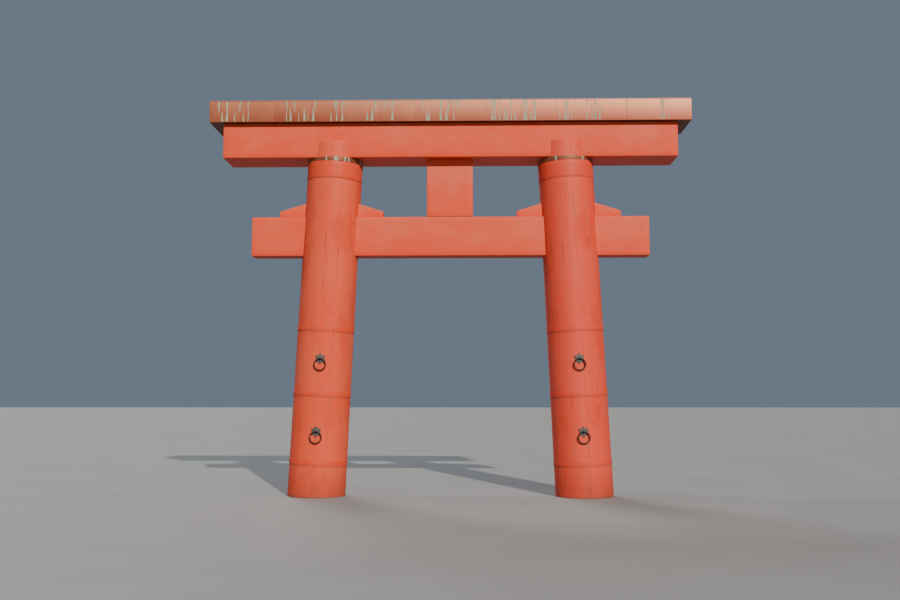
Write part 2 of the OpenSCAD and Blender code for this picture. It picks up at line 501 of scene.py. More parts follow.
class Tree:
    """Adds nodes to a node tree: type, settings first, then values or links by socket."""

    def __init__(self, tree):
        self.tree = tree

    def node(self, kind, settings=None, sockets=None):
        node = self.tree.nodes.new(kind)
        for key, value in (settings or {}).items():
            setattr(node, key, value)
        for key, value in (sockets or {}).items():
            socket = node.inputs[key]
            if isinstance(value, Value):
                value = value.socket
            if isinstance(value, bpy.types.NodeSocket):
                self.tree.links.new(value, socket)
            else:
                socket.default_value = value
        return node


def repeat_tree(kind):
    """A tree that sets one small shape on every point, square to the point's 'facing'.

    kind is 'nail' for a domed head or 'seam' for a folded strip that runs up the face.
    """
    group = bpy.data.node_groups.new(f"repeat_{kind}", "GeometryNodeTree")
    sockets = (
        ("Points", "Geometry"), ("Width", "Float"), ("Stand", "Float"), ("Length", "Float"),
        ("Seed", "Int"), ("Material", "Material"),
    )
    for name, sort in sockets:
        group.interface.new_socket(name, in_out="INPUT", socket_type=f"NodeSocket{sort}")
    group.interface.new_socket("Pieces", in_out="OUTPUT", socket_type="NodeSocketGeometry")
    build = Tree(group)
    given = build.node("NodeGroupInput").outputs
    vector = {"data_type": "FLOAT_VECTOR"}
    facing = build.node("GeometryNodeInputNamedAttribute", vector, {"Name": "facing"})
    running = build.node("GeometryNodeInputNamedAttribute", vector, {"Name": "running"})
    upright = build.node(
        "FunctionNodeAlignRotationToVector", {"axis": "Z"}, {"Vector": facing.outputs[0]}
    )
    turned = build.node(
        "FunctionNodeAlignRotationToVector",
        {"axis": "Y", "pivot_axis": "Z"},
        {"Rotation": upright.outputs[0], "Vector": running.outputs[0]},
    )
    if kind == "nail":
        shape = build.node(
            "GeometryNodeMeshUVSphere", None, {"Segments": 10, "Rings": 6, "Radius": 1.0}
        )
        long_way = given["Width"]
    else:
        outline = build.node(
            "GeometryNodeCurvePrimitiveQuadrilateral", None, {"Width": 1, "Height": 2}
        )
        rounded = build.node(
            "GeometryNodeFilletCurve", None, {"Curve": outline.outputs[0], "Radius": 0.22}
        )
        line = build.node(
            "GeometryNodeCurvePrimitiveLine", None, {"Start": (0, -0.5, 0), "End": (0, 0.5, 0)}
        )
        shape = build.node(
            "GeometryNodeCurveToMesh",
            None,
            {"Curve": line.outputs[0], "Profile Curve": rounded.outputs[0], "Fill Caps": True},
        )
        long_way = given["Length"]
    size = build.node(
        "ShaderNodeCombineXYZ", None, {"X": given["Width"], "Y": long_way, "Z": given["Stand"]}
    )
    uneven = build.node(
        "FunctionNodeRandomValue", {"data_type": "FLOAT"}, {"Seed": given["Seed"]}
    )
    # Nail heads differ by a tenth in size, seams not at all
    uneven.inputs[2].default_value = 0.9 if kind == "nail" else 1.0
    uneven.inputs[3].default_value = 1.0
    scale = build.node("ShaderNodeVectorMath", {"operation": "SCALE"}, {0: size.outputs[0]})
    group.links.new(uneven.outputs[1], scale.inputs["Scale"])
    placed = build.node(
        "GeometryNodeInstanceOnPoints",
        None,
        {
            "Points": given["Points"],
            "Instance": shape.outputs[0],
            "Rotation": turned.outputs[0],
            "Scale": scale.outputs[0],
        },
    )
    real = build.node("GeometryNodeRealizeInstances", None, {"Geometry": placed.outputs[0]})
    painted = build.node(
        "GeometryNodeSetMaterial",
        None,
        {"Geometry": real.outputs[0], "Material": given["Material"]},
    )
    build.node("NodeGroupOutput", None, {"Pieces": painted.outputs[0]})
    return group


def repeat(name, kind, spots, width, stand, run, material, seed=1):
    """Sets nails or seams on spots, each (place, facing, running). run is a seam's length."""
    mesh = bpy.data.meshes.new(name)
    mesh.from_pydata([tuple(s[0]) for s in spots], [], [])
    for key, index in (("facing", 1), ("running", 2)):
        attribute = mesh.attributes.new(key, "FLOAT_VECTOR", "POINT")
        values = np.array([tuple(s[index]) for s in spots], dtype=np.float32).ravel()
        attribute.data.foreach_set("vector", values)
    piece = link_piece(name, mesh)
    group = bpy.data.node_groups.get(f"repeat_{kind}") or repeat_tree(kind)
    modifier = piece.modifiers.new("repeat", "NODES")
    modifier.node_group = group
    given = {
        "Width": float(width),
        "Stand": float(stand),
        "Length": float(run),
        "Seed": int(seed),
        "Material": material,
    }
    for item in group.interface.items_tree:
        if item.item_type == "SOCKET" and item.in_out == "INPUT" and item.name in given:
            modifier[item.identifier] = given[item.name]
    settle(piece)
    soften(piece, 50)
    if not piece.data.materials:
        piece.data.materials.append(material)
    return piece


# ---------------------------------------------------------------------------
# Shader helpers
# ---------------------------------------------------------------------------


class Value:
    """A number socket that adds Math nodes when it is used in an expression."""

    def __init__(self, finish, socket):
        self.finish = finish
        self.socket = socket

    def math(self, operation, *others, clamp=False):
        sockets = dict(enumerate((self, *others)))
        settings = {"operation": operation, "use_clamp": clamp}
        return self.finish.value("ShaderNodeMath", settings, sockets)

    def __add__(self, other):
        return self.math("ADD", other)

    __radd__ = __add__

    def __mul__(self, other):
        return self.math("MULTIPLY", other)

    __rmul__ = __mul__

    def __sub__(self, other):
        return self.math("SUBTRACT", other)

    def __rsub__(self, other):
        return self.math("MULTIPLY", -1.0) + other

    def __truediv__(self, other):
        return self.math("DIVIDE", other)

    def absolute(self):
        return self.math("ABSOLUTE")

    def above(self, low, high):
        """0 below low, 1 above high, eased in between. Low may be the higher of the two."""
        flip = low > high
        sockets = {"Value": self, "From Min": min(low, high), "From Max": max(low, high)}
        eased = self.finish.value(
            "ShaderNodeMapRange", {"interpolation_type": "SMOOTHSTEP"}, sockets
        )
        return 1 - eased if flip else eased

    def clamped(self):
        return self.math("ADD", 0.0, clamp=True)


class Finish(Tree):
    """A material in the making."""

    def __init__(self, name, roughness=0.5, metallic=0.0, specular=0.5):
        self.material = bpy.data.materials.new(name)
        self.material.use_nodes = True
        super().__init__(self.material.node_tree)
        self.shader = self.tree.nodes["Principled BSDF"]
        self.shader.inputs["Roughness"].default_value = roughness
        self.shader.inputs["Metallic"].default_value = metallic
        self.shader.inputs["Specular IOR Level"].default_value = specular
        self.place = self.node("ShaderNodeTexCoord").outputs["Object"]

    def value(self, kind, settings=None, sockets=None, output=0):
        return Value(self, self.node(kind, settings, sockets).outputs[output])

    def mapped(self, scale=(1, 1, 1), turn=(0, 0, 0), shift=(0, 0, 0), place=None):
        sockets = {"Vector": place or self.place, "Scale": scale, "Rotation": turn, "Location": shift}
        return self.node("ShaderNodeMapping", None, sockets).outputs[0]

    def noise(self, place, scale, detail=4.0, rough=0.55, twist=0.0):
        sockets = {
            "Vector": place,
            "Scale": scale,
            "Detail": detail,
            "Roughness": rough,
            "Distortion": twist,
        }
        return self.value("ShaderNodeTexNoise", None, sockets)

    def axes(self, place=None):
        parts = self.node("ShaderNodeSeparateXYZ", None, {0: place or self.place}).outputs
        return [Value(self, part) for part in parts]

    def read(self, name):
        return self.value("ShaderNodeAttribute", {"attribute_name": name}, None, "Fac")

    def mix(self, under, over, factor):
        settings = {"data_type": "RGBA", "clamp_factor": True}
        node = self.node("ShaderNodeMix", settings)
        for index, given in ((0, factor), (6, under), (7, over)):
            socket = node.inputs[index]
            if isinstance(given, Value):
                given = given.socket
            if isinstance(given, bpy.types.NodeSocket):
                self.tree.links.new(given, socket)
            elif index:
                socket.default_value = (*given[:3], 1)
            else:
                socket.default_value = given
        return node.outputs[2]

    def finish(self, base, roughness=None, metallic=None, height=None, bump=0.002, strength=0.5):
        link = self.tree.links.new
        link(base, self.shader.inputs["Base Color"])
        if roughness is not None:
            link(roughness.socket, self.shader.inputs["Roughness"])
        if metallic is not None:
            link(metallic.socket, self.shader.inputs["Metallic"])
        if height is not None:
            sockets = {"Height": height, "Distance": bump, "Strength": strength}
            bumped = self.node("ShaderNodeBump", None, sockets)
            link(bumped.outputs[0], self.shader.inputs["Normal"])
        return self.material


# ---------------------------------------------------------------------------
# Materials
# ---------------------------------------------------------------------------


def column_paint(column, look):
    """Vermilion on staves: bands of tint, faint seams, grey-green marks, grime at the foot."""
    paint = Finish(f"vermilion_{column.side}_column", roughness=0.62, specular=0.3)
    shift = (
        -column.sign * column.foot_x * math.cos(column.lean),
        0,
        column.foot_x * math.sin(column.lean),
    )
    own = paint.mapped(turn=(0, column.sign * column.lean, 0), shift=shift)
    _, _, rise = paint.axes(own)
    cloud = paint.noise(paint.mapped(place=own, scale=(1.0, 1.0, 0.55)), 1.3, 3.0, 0.5)
    patch = paint.noise(paint.mapped(place=own, scale=(1, 1, 0.5)), 3.4, 5.0, 0.6, 0.3)
    brush = paint.noise(paint.mapped(place=own, scale=(1, 1, 0.035)), 26.0, 5.0, 0.6)
    grain = paint.noise(paint.mapped(place=own, scale=(1, 1, 0.03)), 95.0, 4.0, 0.6)
    tint = paint.read("stave")
    seam = paint.read("seam")
    base = paint.mix(look.vermilion, look.blush, (cloud * 0.9 + tint * 0.5 - 0.17).above(0.1, 0.95))
    base = paint.mix(base, look.rose, 0.05 if column.side == "left" else 0.55)
    stain = paint.noise(paint.mapped(place=own, scale=(1.4, 1.4, 0.7), shift=(3, 0, 1)), 1.5, 4.0, 0.55)
    base = paint.mix(base, look.deep, stain.above(0.52, 0.68) * 0.38)
    base = paint.mix(base, look.deep, patch.above(0.54, 0.74) * 0.35)
    base = paint.mix(base, look.deep, brush.above(0.55, 0.75) * 0.25)
    base = paint.mix(base, look.blush, brush.above(0.46, 0.3) * 0.2)
    # Seams: a faint line, and broken grey-green marks along it
    fade = paint.noise(paint.mapped(place=own, scale=(2.2, 2.2, 0.8)), 1.7, 2.0, 0.5)
    base = paint.mix(base, look.grime, seam.above(0.45, 1.0) * fade.above(0.46, 0.66) * 0.3)
    frayed = 0.6 + brush.above(0.3, 0.6) * 0.4
    bloom = paint.read("bloom").above(0.1, 0.8) * seam.above(0.02, 0.4) * frayed
    base = paint.mix(base, look.lichen, bloom * 0.75)
    crack = paint.read("crack").above(0.1, 0.7) * seam.above(0.25, 0.75) * frayed
    base = paint.mix(base, look.crack, crack * 0.95)
    # Painted shade just below each hoop's proud edge, and grime that rises from the ground
    for number in HOOPS:
        foot = column.rise(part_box(f"{column.side}_hoop_{number}")[0].z)
        near = (rise - foot).absolute().above(0.026, 0.006)
        base = paint.mix(base, look.grime, near * 0.3)
    splash = paint.noise(paint.mapped(place=own, scale=(1, 1, 0.8)), 5.5, 6.0, 0.65, 0.6)
    low = rise.above(0.72, 0.1)
    base = paint.mix(base, look.deep, low * 0.45)
    base = paint.mix(base, look.grime, low * (0.14 + splash.above(0.38, 0.70) * 0.34))
    base = paint.mix(base, look.grime, rise.above(0.07, 0.0) * (0.35 + splash * 0.3))
    height = brush * 0.35 + grain * 0.4 + patch * 0.25
    roughness = 0.5 + patch * 0.18 + low * 0.12
    return paint.finish(base, roughness, None, height, 0.0022, 0.55)


def beam_paint(name, look, low, high, fade=0.6, seed=0.0, upright=False):
    """Vermilion on squared timber: bleached clouds above, deeper along the lower edge."""
    paint = Finish(name, roughness=0.6, specular=0.3)
    place = paint.mapped(shift=(seed, seed * 0.7, 0))
    along = (1, 1, 0.1) if upright else (0.1, 1, 1)
    _, _, level = paint.axes()
    cloud = paint.noise(paint.mapped(place=place, scale=(0.9, 1, 1.3)), 1.6, 5.0, 0.6, 0.4)
    patch = paint.noise(paint.mapped(place=place, scale=(0.7, 1, 1.2)), 4.2, 5.0, 0.6, 0.5)
    brush = paint.noise(paint.mapped(place=place, scale=along), 22.0, 5.0, 0.6)
    grain = paint.noise(paint.mapped(place=place, scale=along), 85.0, 4.0, 0.6)
    lift = (level - low) / (high - low)
    bleach = (cloud * 1.1 + lift.above(0.1, 0.75) * fade - 0.3).above(0.1, 0.9)
    base = paint.mix(look.vermilion, look.blush, bleach)
    base = paint.mix(base, look.deep, patch.above(0.60, 0.82) * 0.3)
    base = paint.mix(base, look.deep, brush.above(0.6, 0.8) * 0.16)
    base = paint.mix(base, look.deep, lift.above(0.16, 0.0) * 0.22)
    # Underneath: deeper, darker paint, a painted shade on the beam's underside
    painted_underside_shade = lift.above(0.012, 0.001)
    base = paint.mix(base, look.deep, painted_underside_shade * 0.7)
    base = paint.mix(base, look.grime, painted_underside_shade * 0.3)
    # A dark line along the strut's foot where it meets the tie beam: painted contact shade
    if upright:
        base = paint.mix(base, look.grime, (level - low).above(0.03, 0.004) * 0.7)
    drip = paint.noise(paint.mapped(place=place, scale=(9, 9, 0.9)), 1.0, 3.0, 0.5)
    base = paint.mix(base, look.grime, drip.above(0.68, 0.8) * lift.above(0.2, 0.9) * 0.16)
    height = brush * 0.35 + grain * 0.4 + patch * 0.25
    return paint.finish(base, 0.5 + patch * 0.2, None, height, 0.0022, 0.5)


def sheet_copper(name, look, low, high, shade=0.0):
    """Copper sheet: each sheet its own tint, with green runs, a painted sheen that lightens it above and
    towards the right, and painted shade towards the soffit colour by shade.
    """
    copper = Finish(name, roughness=0.45, metallic=0.5)
    across, _, level = copper.axes()
    lift = (level - low) / (high - low)
    cloud = copper.noise(copper.mapped(scale=(0.9, 1.2, 1.4)), 2.2, 4.0, 0.55)
    fine = copper.noise(copper.mapped(scale=(1, 1, 0.25)), 28.0, 4.0, 0.6)
    streak = copper.noise(copper.mapped(scale=(1, 1, 0.12)), 15.0, 4.0, 0.6)
    tint = copper.read("tint")
    run = copper.read("verdigris")
    # Lighter towards the right of the lintel and towards the top of each sheet: painted sheen
    painted_sheen_rightwards = across.above(-5.6, 1.6) * 0.5 + 0.5
    light = lift.above(-0.1, 1.1) * 0.95 * painted_sheen_rightwards + (cloud - 0.5) * 0.4 + (tint - 0.5) * 0.13 + 0.03
    light = light.clamped()
    base = copper.mix(look.dull, look.bright, light * (1 - shade))
    # Darkened towards the soffit colour by shade: painted shade
    base = copper.mix(base, look.soffit, shade)
    base = copper.mix(base, look.dull, streak.above(0.56, 0.74) * 0.35)
    thread = copper.noise(copper.mapped(scale=(1, 1, 0.05)), 85.0, 3.0, 0.6)
    green = (run * (0.5 + fine * 0.5 + thread * 0.8)).above(0.2, 0.6)
    base = copper.mix(base, look.verdigris, green * 0.92)
    roughness = 0.40 + cloud * 0.14 + green * 0.3 + shade * 0.2
    metallic = (1 - green) * (0.4 * (1 - shade * 0.7))
    return copper.finish(base, roughness, metallic, cloud * 0.5 + fine * 0.3 + green * 0.4, 0.002, 0.4)


def forged_iron(name, base_colour, roughness):
    """Blackened iron: hammered, with brown bloom and lighter rubbed spots."""
    iron = Finish(name, roughness=roughness, metallic=0.55)
    hammer = iron.noise(iron.mapped(), 70.0, 3.0, 0.5)
    bloom = iron.noise(iron.mapped(), 24.0, 5.0, 0.6)
    pits = iron.noise(iron.mapped(), 240.0, 3.0, 0.6)
    rust = [channel * scale for channel, scale in zip(base_colour, (2.2, 1.25, 0.8))]
    rubbed = [min(1, channel * 1.9) for channel in base_colour]
    base = iron.mix(base_colour, rust, bloom.above(0.5, 0.72) * 0.5)
    base = iron.mix(base, rubbed, hammer.above(0.58, 0.76) * 0.4)
    metallic = 0.6 - bloom.above(0.5, 0.72) * 0.3
    return iron.finish(base, roughness + bloom * 0.2, metallic, hammer * 0.7 + pits * 0.3, 0.0016, 0.6)


def hoop_paint(column, look):
    """The columns' paint on iron hoops: deeper, with painted shade along the lower edge."""
    paint = Finish(f"vermilion_{column.side}_hoops", roughness=0.55, specular=0.3)
    cloud = paint.noise(paint.mapped(), 1.4, 3.0, 0.5)
    patch = paint.noise(paint.mapped(), 9.0, 5.0, 0.6)
    fine = paint.noise(paint.mapped(), 120.0, 3.0, 0.6)
    edge = paint.read("edge")
    base = paint.mix(look.vermilion, look.blush, cloud.above(0.2, 0.8) * 0.5)
    base = paint.mix(base, look.rose, 0.1 if column.side == "left" else 0.6)
    base = paint.mix(base, look.deep, 0.18 + patch.above(0.5, 0.75) * 0.3)
    # Darker along each band's lower edge: painted shade
    base = paint.mix(base, look.grime, edge.above(0.4, 1.0) * 0.45)
    return paint.finish(base, 0.48 + patch * 0.2, None, patch * 0.6 + fine * 0.4, 0.0015, 0.5)


# ---------------------------------------------------------------------------
# Pieces
# ---------------------------------------------------------------------------


def column_angles(seams, width):
    """Angles round a column, each (angle, how near a seam, depth in the groove)."""
    half = width / 2
    out = []
    starts = [math.radians(s) for s in seams]
    near = 3.2 * half
    for angle in [math.radians(a) for a in range(-180, 180, 4)]:
        gap = min(abs(math.remainder(angle - s, 2 * math.pi)) for s in starts)
        if gap > near + math.radians(0.6):
            out.append((angle, 0.0, 0.0))
    for start in starts:
        for offset, seam, dip in (
            (-near, 0.0, 0.0), (-2 * half, 0.35, 0.0), (-half, 0.7, 0.12), (0.0, 1.0, 1.0),
            (half, 0.7, 0.12), (2 * half, 0.35, 0.0), (near, 0.0, 0.0),
        ):
            angle = math.remainder(start + offset, 2 * math.pi)
            out.append((angle, seam, dip))
    return sorted(out)


def seam_angles(side):
    """Azimuths of the seams between staves, which are a little uneven in width."""
    count, nearest = STAVES[side]
    rng = random.Random(31 if side == "left" else 37)
    angles = []
    for i in range(count):
        uneven = rng.uniform(-2, 2) if i else 0
        angles.append(math.remainder(nearest + i * 360 / count + uneven, 360))
    return sorted(angles)


def weathering(side, seams):
    """Marks along each seam: lower end, upper end and strength.

    Above 0 a mark is a dark crack, below 0 a grey-green bloom. Cracks gather at the tie beam.
    """
    rng = random.Random(7 if side == "left" else 12)
    beam_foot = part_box("tie_beam")[0].z
    marks = []
    for _ in seams:
        own = []
        if rng.random() < 0.6:
            low = beam_foot + rng.uniform(-0.1, 0.15)
            own.append((low, low + rng.uniform(0.15, 0.3), 1))
        for _ in range(rng.randint(3, 5)):
            low = rng.uniform(0.7, COLUMN_TOP - 1.5)
            strength = rng.choice((0.8, 0.5, -0.7, -0.8, -1))
            own.append((low, low + rng.uniform(0.1, 0.35), strength))
        marks.append(own)
    return marks


def seam_wear(seams, marks, angle, rise):
    """How cracked (above 0) or bloomed (below 0) a seam is at a point."""
    for seam, own in zip(seams, marks):
        if abs(math.remainder(angle - math.radians(seam), 2 * math.pi)) > math.radians(3):
            continue
        for low, high, strength in own:
            if low < rise < high:
                return strength
    return 0.0


def stave_rows(look):
    """Levels up a column, each with its inset. The foot is eased and the top rim is rounded."""
    rim = look.rim
    rows = [(0.0, rim * 0.5), (0.004, 0.0)]
    rows += [(COLUMN_TOP * i / look.rings, 0.0) for i in range(1, look.rings)]
    for step in (0.0, 0.3, 0.6, 0.85, 1.0):
        turn = step * math.pi / 2
        rows.append((COLUMN_TOP - rim * (1 - math.sin(turn)), rim * (1 - math.cos(turn))))
    return rows


def build_column(column, timber_look, stave_look):
    """A tapered, leaning column of staves, with its housings cut out."""
    seams = seam_angles(column.side)
    wear = weathering(column.side, seams)
    angles = column_angles(seams, stave_look.seam_width / column.foot_r)
    rng = random.Random(11 if column.side == "left" else 23)
    tints = [rng.random() for _ in seams]
    edges = [math.radians(s) for s in seams]
    rows = stave_rows(stave_look)
    points = []
    marks = {"seam": [], "stave": [], "crack": [], "bloom": []}

    def add(point, *values):
        points.append(point)
        for kept, value in zip(marks.values(), values):
            kept.append(value)

    for level, inset in rows:
        for angle, seam, dip in angles:
            rise = column.rise(level, angle)
            spot = noise.noise(Vector((angle * 2.2, column.sign * 5, level * 0.9)))
            sunk = 0.0012 * (0.5 + 0.5 * spot) + dip * stave_look.seam_depth
            worn = seam_wear(seams, wear, angle, rise) if seam else 0.0
            stave = sum(1 for edge in edges if angle >= edge) % len(tints)
            point = column.point(angle, rise, -sunk - inset)
            add(point, seam, tints[stave], max(0.0, worn), max(0.0, -worn))
    count = len(angles)
    faces = ring_faces(len(rows), count)
    for row, level in ((0, 0.0), (len(rows) - 1, COLUMN_TOP)):
        centre = len(points)
        add(column.local(0, 0, column.rise(level)), 0.0, 0.5, 0.0, 0.0)
        for j in range(count):
            k = (j + 1) % count
            faces.append((row * count + j, row * count + k, centre))
    paint = column_paint(column, timber_look)
    piece = new_piece(f"{column.side}_column_staves", points, faces, paint, 40)
    for name, values in marks.items():
        mark(piece, name, values)
    outwards(piece)
    cut(piece, column_cutters(column, timber_look.joinery_gap))
    soften(piece, 40)
    dress(piece, "column_paint", ROOT, f"{column.side}_column")


def column_cutters(column, gap):
    """The tie beam's mortise, the second lintel's slot and the wedges' pockets."""
    beam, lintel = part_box("tie_beam"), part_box("second_lintel")
    open_top = lintel[1] + Vector((0, 0, 0.2))
    housings = [
        ("tie_mortise", box_outline(*beam, gap), beam),
        ("lintel_slot", box_outline(lintel[0], open_top, gap), lintel),
    ]
    for which in ("inner", "outer"):
        node = f"{column.side}_{which}_wedge"
        housings.append((f"{which}_pocket", wedge_outline(node, gap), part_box(node)))
    return [
        cutter(name, outline, high.y - low.y + 2 * gap) for name, outline, (low, high) in housings
    ]


def wedge_outline(node, grow=0.0):
    """The wedge's outline in X and Z, from the frame's own corners."""
    mesh = NODES[node].data
    corners = {(round(v.co.x, 4), round(v.co.z, 4)) for v in mesh.vertices}
    centre_x = sum(c[0] for c in corners) / len(corners)
    centre_z = sum(c[1] for c in corners) / len(corners)
    ordered = sorted(corners, key=lambda c: math.atan2(c[1] - centre_z, c[0] - centre_x))
    if not grow:
        return ordered
    return [
        (x + math.copysign(grow, x - centre_x), z + math.copysign(grow, z - centre_z))
        for x, z in ordered
    ]


def band(column, name, material, low, high_of, stand, edge, steps=144):
    """A band round a column, from one height up to another that may vary, with rolled edges."""
    bite = 0.0005
    angles = [2 * math.pi * i / steps for i in range(steps)]
    edge = min(edge, stand * 0.6)
    # Each ring: a share of the height or a distance from an edge, how far out, and which it is
    profile = [(0.0, bite, "low"), (0.0, stand - edge, "low"), (edge * 0.3, stand - edge * 0.3, "low")]
    profile += [(edge, stand, "low")]
    profile += [(share, stand, "between") for share in (0.22, 0.5, 0.78)]
    profile += [(-edge, stand, "high"), (-edge * 0.3, stand - edge * 0.3, "high")]
    profile += [(0.0, stand - edge, "high"), (0.0, bite, "high")]
    rings, marks = [], []
    for along, out, kind in profile:
        ring = []
        for a in angles:
            high = high_of(a)
            rise = {"low": low, "between": low, "high": high}[kind]
            rise += (high - low) * along if kind == "between" else along
            ring.append(column.point(a, rise, out))
            share = (rise - low) / (high - low)
            marks.append(max(0.0, 1 - share / 0.10))
        rings.append(ring)
    piece = tube(name, rings, material)
    # edge runs from 1 at the lower edge to 0 a tenth of the way up; the hoop paint lays painted shade by
    # it
    mark(piece, "edge", marks)
    mark(piece, "tint", [0.4] * len(marks))
    return piece


def build_hoops(column, timber_look, iron_look):
    """The painted hoops with their rivets at the back, and the neck band."""
    paint = hoop_paint(column, timber_look)
    for number in HOOPS:
        node = f"{column.side}_hoop_{number}"
        low, high = column.span(node)
        hoop = band(column, f"{node}_strap", paint, low, lambda a: high, HOOP_STAND, 0.003)
        dress(hoop, "column_paint", ROOT, node)
        spots = []
        for turn in (158, 164, -164, -158):
            for share in (0.25, 0.75):
                rise = low + (high - low) * share
                spots.append(surface_spot(column, math.radians(turn), rise, 0.0045))
        rivet = iron_look.hoop_rivet
        rivets = repeat(f"{node}_rivets", "nail", spots, rivet, 0.0033, 0, paint, number)
        dress(rivets, "column_paint", ROOT)
    node = f"{column.side}_neck_band"
    low, high = column.span(node)
    neck = band(column, f"{node}_sheet", paint, low, lambda a: high, NECK_BAND_STAND, 0.0015)
    dress(neck, "column_paint", ROOT, node)


def surface_spot(column, angle, rise, out):
    """A place on a column for a nail, with the way it faces and the way it runs."""
    place = column.point(angle, rise, out)
    facing = (place - column.point(angle, rise, -0.1)).normalized()
    return place, facing, column.way(0, 0, 1)


def build_collar(column, copper_look):
    """A copper collar, square to the column below and level above, with a few green runs."""
    node = f"{column.side}_collar"
    low, _ = column.span(node)
    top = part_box(node)[1].z
    # Darkened by 0.4 towards the soffit colour: painted shade under the second lintel
    copper = sheet_copper(f"copper_{node}", copper_look, top - 0.14, top + 0.08, 0.4)
    steps = 360
    collar = band(
        column, f"{node}_sheet", copper, low, lambda a: column.rise(top, a), COLLAR_STAND, 0.002, steps
    )
    green = []
    for i in range(steps):
        gaps = [
            abs(math.remainder(360 * i / steps - run, 360)) / width
            for run, width in COLLAR_RUNS[column.side]
        ]
        green.append(max(0.0, 1 - min(gaps)))
    mark(collar, "verdigris", green * (len(collar.data.vertices) // steps))
    dress(collar, "copper_sheet", ROOT, node)
    spots = []
    for turn in range(10, 370, 20):
        angle = math.radians(turn)
        high = column.rise(top, angle)
        spots.append(surface_spot(column, angle, low + (high - low) * 0.5, COLLAR_STAND - 0.0035))
    nails = repeat(f"{node}_nails", "nail", spots, 0.005, 0.0034, 0, copper, 3)
    dress(nails, "copper_sheet", ROOT)


def sheet_face(name, corner, across, up, out, seams, copper, look, runs=(), step=0.01, rows=12, seed=1):
    """A closed skin of copper sheets: pillowed between its seams, dented here and there.

    corner is the lower start of the skin, across and up span it, and out faces away from it.
    """
    width, height = across.length, up.length
    way, rise = across.normalized(), up.normalized()
    count = max(8, round(width / step))
    stations = [width * i / count for i in range(count + 1)]
    edges = sorted({0.0, width, *[s for s in seams if 0 < s < width]})
    rng = random.Random(seed)
    tints = [rng.random() for _ in edges]
    points, green, tint = [], [], []
    for j in range(rows + 1):
        v = j / rows
        for s in stations:
            index = max(0, sum(1 for e in edges if e <= s + 1e-9) - 1)
            index = min(index, len(edges) - 2)
            a, b = edges[index], edges[index + 1]
            t = (s - a) / (b - a)
            bulge = (math.sin(math.pi * t) * math.sin(math.pi * v)) ** 0.35
            place = corner + way * s + rise * (height * v)
            dent = noise.noise(place * 2.4 + Vector((seed, 0, 0))) * 0.5 + 0.5
            depth = look.stand + look.pillow * (1 - bulge) + 0.0015 * dent
            points.append(place - out * depth)
            tint.append(tints[index])
            green.append(run_strength(runs, s, 1 - v))
    wide = len(stations)
    faces = []
    for j in range(rows):
        for i in range(wide - 1):
            a = j * wide + i
            faces.append((a, a + 1, a + wide + 1, a + wide))
    rim = list(range(wide))
    rim += [j * wide + wide - 1 for j in range(1, rows + 1)]
    rim += [rows * wide + i for i in range(wide - 2, -1, -1)]
    rim += [j * wide for j in range(rows - 1, 0, -1)]
    start = len(points)
    for index in rim:
        flat = points[index] - corner
        flat = corner + way * flat.dot(way) + rise * flat.dot(rise)
        points.append(flat - out * (look.stand + look.gauge))
        tint.append(tint[index])
        green.append(0.0)
    total = len(rim)
    for i in range(total):
        j = (i + 1) % total
        faces.append((rim[i], start + i, start + j, rim[j]))
    middle = len(points)
    points.append(corner + across / 2 + up / 2 - out * (look.stand + look.gauge))
    tint.append(0.5)
    green.append(0.0)
    for i in range(total):
        faces.append((start + (i + 1) % total, start + i, middle))
    piece = new_piece(name, points, faces, copper, 30)
    mark(piece, "verdigris", green)
    mark(piece, "tint", tint)
    outwards(piece)
    return piece


def run_strength(runs, s, drop):
    """How green a spot is, s along a face and drop down it."""
    best = 0.0
    for place, start, end, width in runs:
        if not start - 0.02 <= drop <= end + 0.02:
            continue
        share = (drop - start) / (end - start)
        if start < 0.12 and end < 0.8:
            # From the top edge, thinner as it falls
            girth = 1 - 0.75 * share
        elif end > 0.9 and start > 0.12:
            # Down to the foot, wider as it falls
            girth = 0.3 + 0.7 * share
        elif start < 0.12:
            # Over most of the sheet, waisted
            girth = 0.7 + 0.3 * math.cos(share * 2 * math.pi)
        else:
            # Somewhere in the middle, pointed at both ends
            girth = math.sin(math.pi * min(1, max(0.08, share)))
        sway = 0.006 * math.sin(9 * drop + place * 40)
        best = max(best, 1 - abs(s - place - sway) / (width * 0.72 * max(0.2, girth)))
    return max(0.0, best)


def verdigris_runs(end_x, flip, seed):
    """Runs in clusters along a long face: place from its start, start, end and width."""
    rng = random.Random(seed)
    runs = []
    for middle, count in RUN_CLUSTERS:
        for i in range(count):
            aside = (i + 0.5 - count / 2) * RUN_PITCH + rng.uniform(-0.025, 0.025)
            start, end = rng.choice(RUN_KINDS)
            runs.append((end_x + flip * middle + aside, start, end, rng.uniform(0.02, 0.065)))
    return runs


def seam_places(span, pitch):
    """Even places either side of the middle, kept off the ends."""
    count = int(span / 2 / pitch)
    return [i * pitch for i in range(-count, count + 1) if abs(i * pitch) < span / 2 - 0.15]


class Cladding:
    """Where the top lintel's copper lies, from the frame, and where its seams run."""

    def __init__(self, look):
        low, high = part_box("front_copper")
        self.depth = -low.y
        self.low_z = low.z
        self.top_z = high.z + CLADDING
        self.tall = self.top_z - self.low_z
        self.middle = (self.low_z + self.top_z) / 2
        self.end_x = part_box("roof_copper")[1].x
        self.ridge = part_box("roof_copper")[1].z
        self.crown = self.ridge - look.cap_stand
        self.seams = seam_places(2 * self.end_x, look.sheet_width)


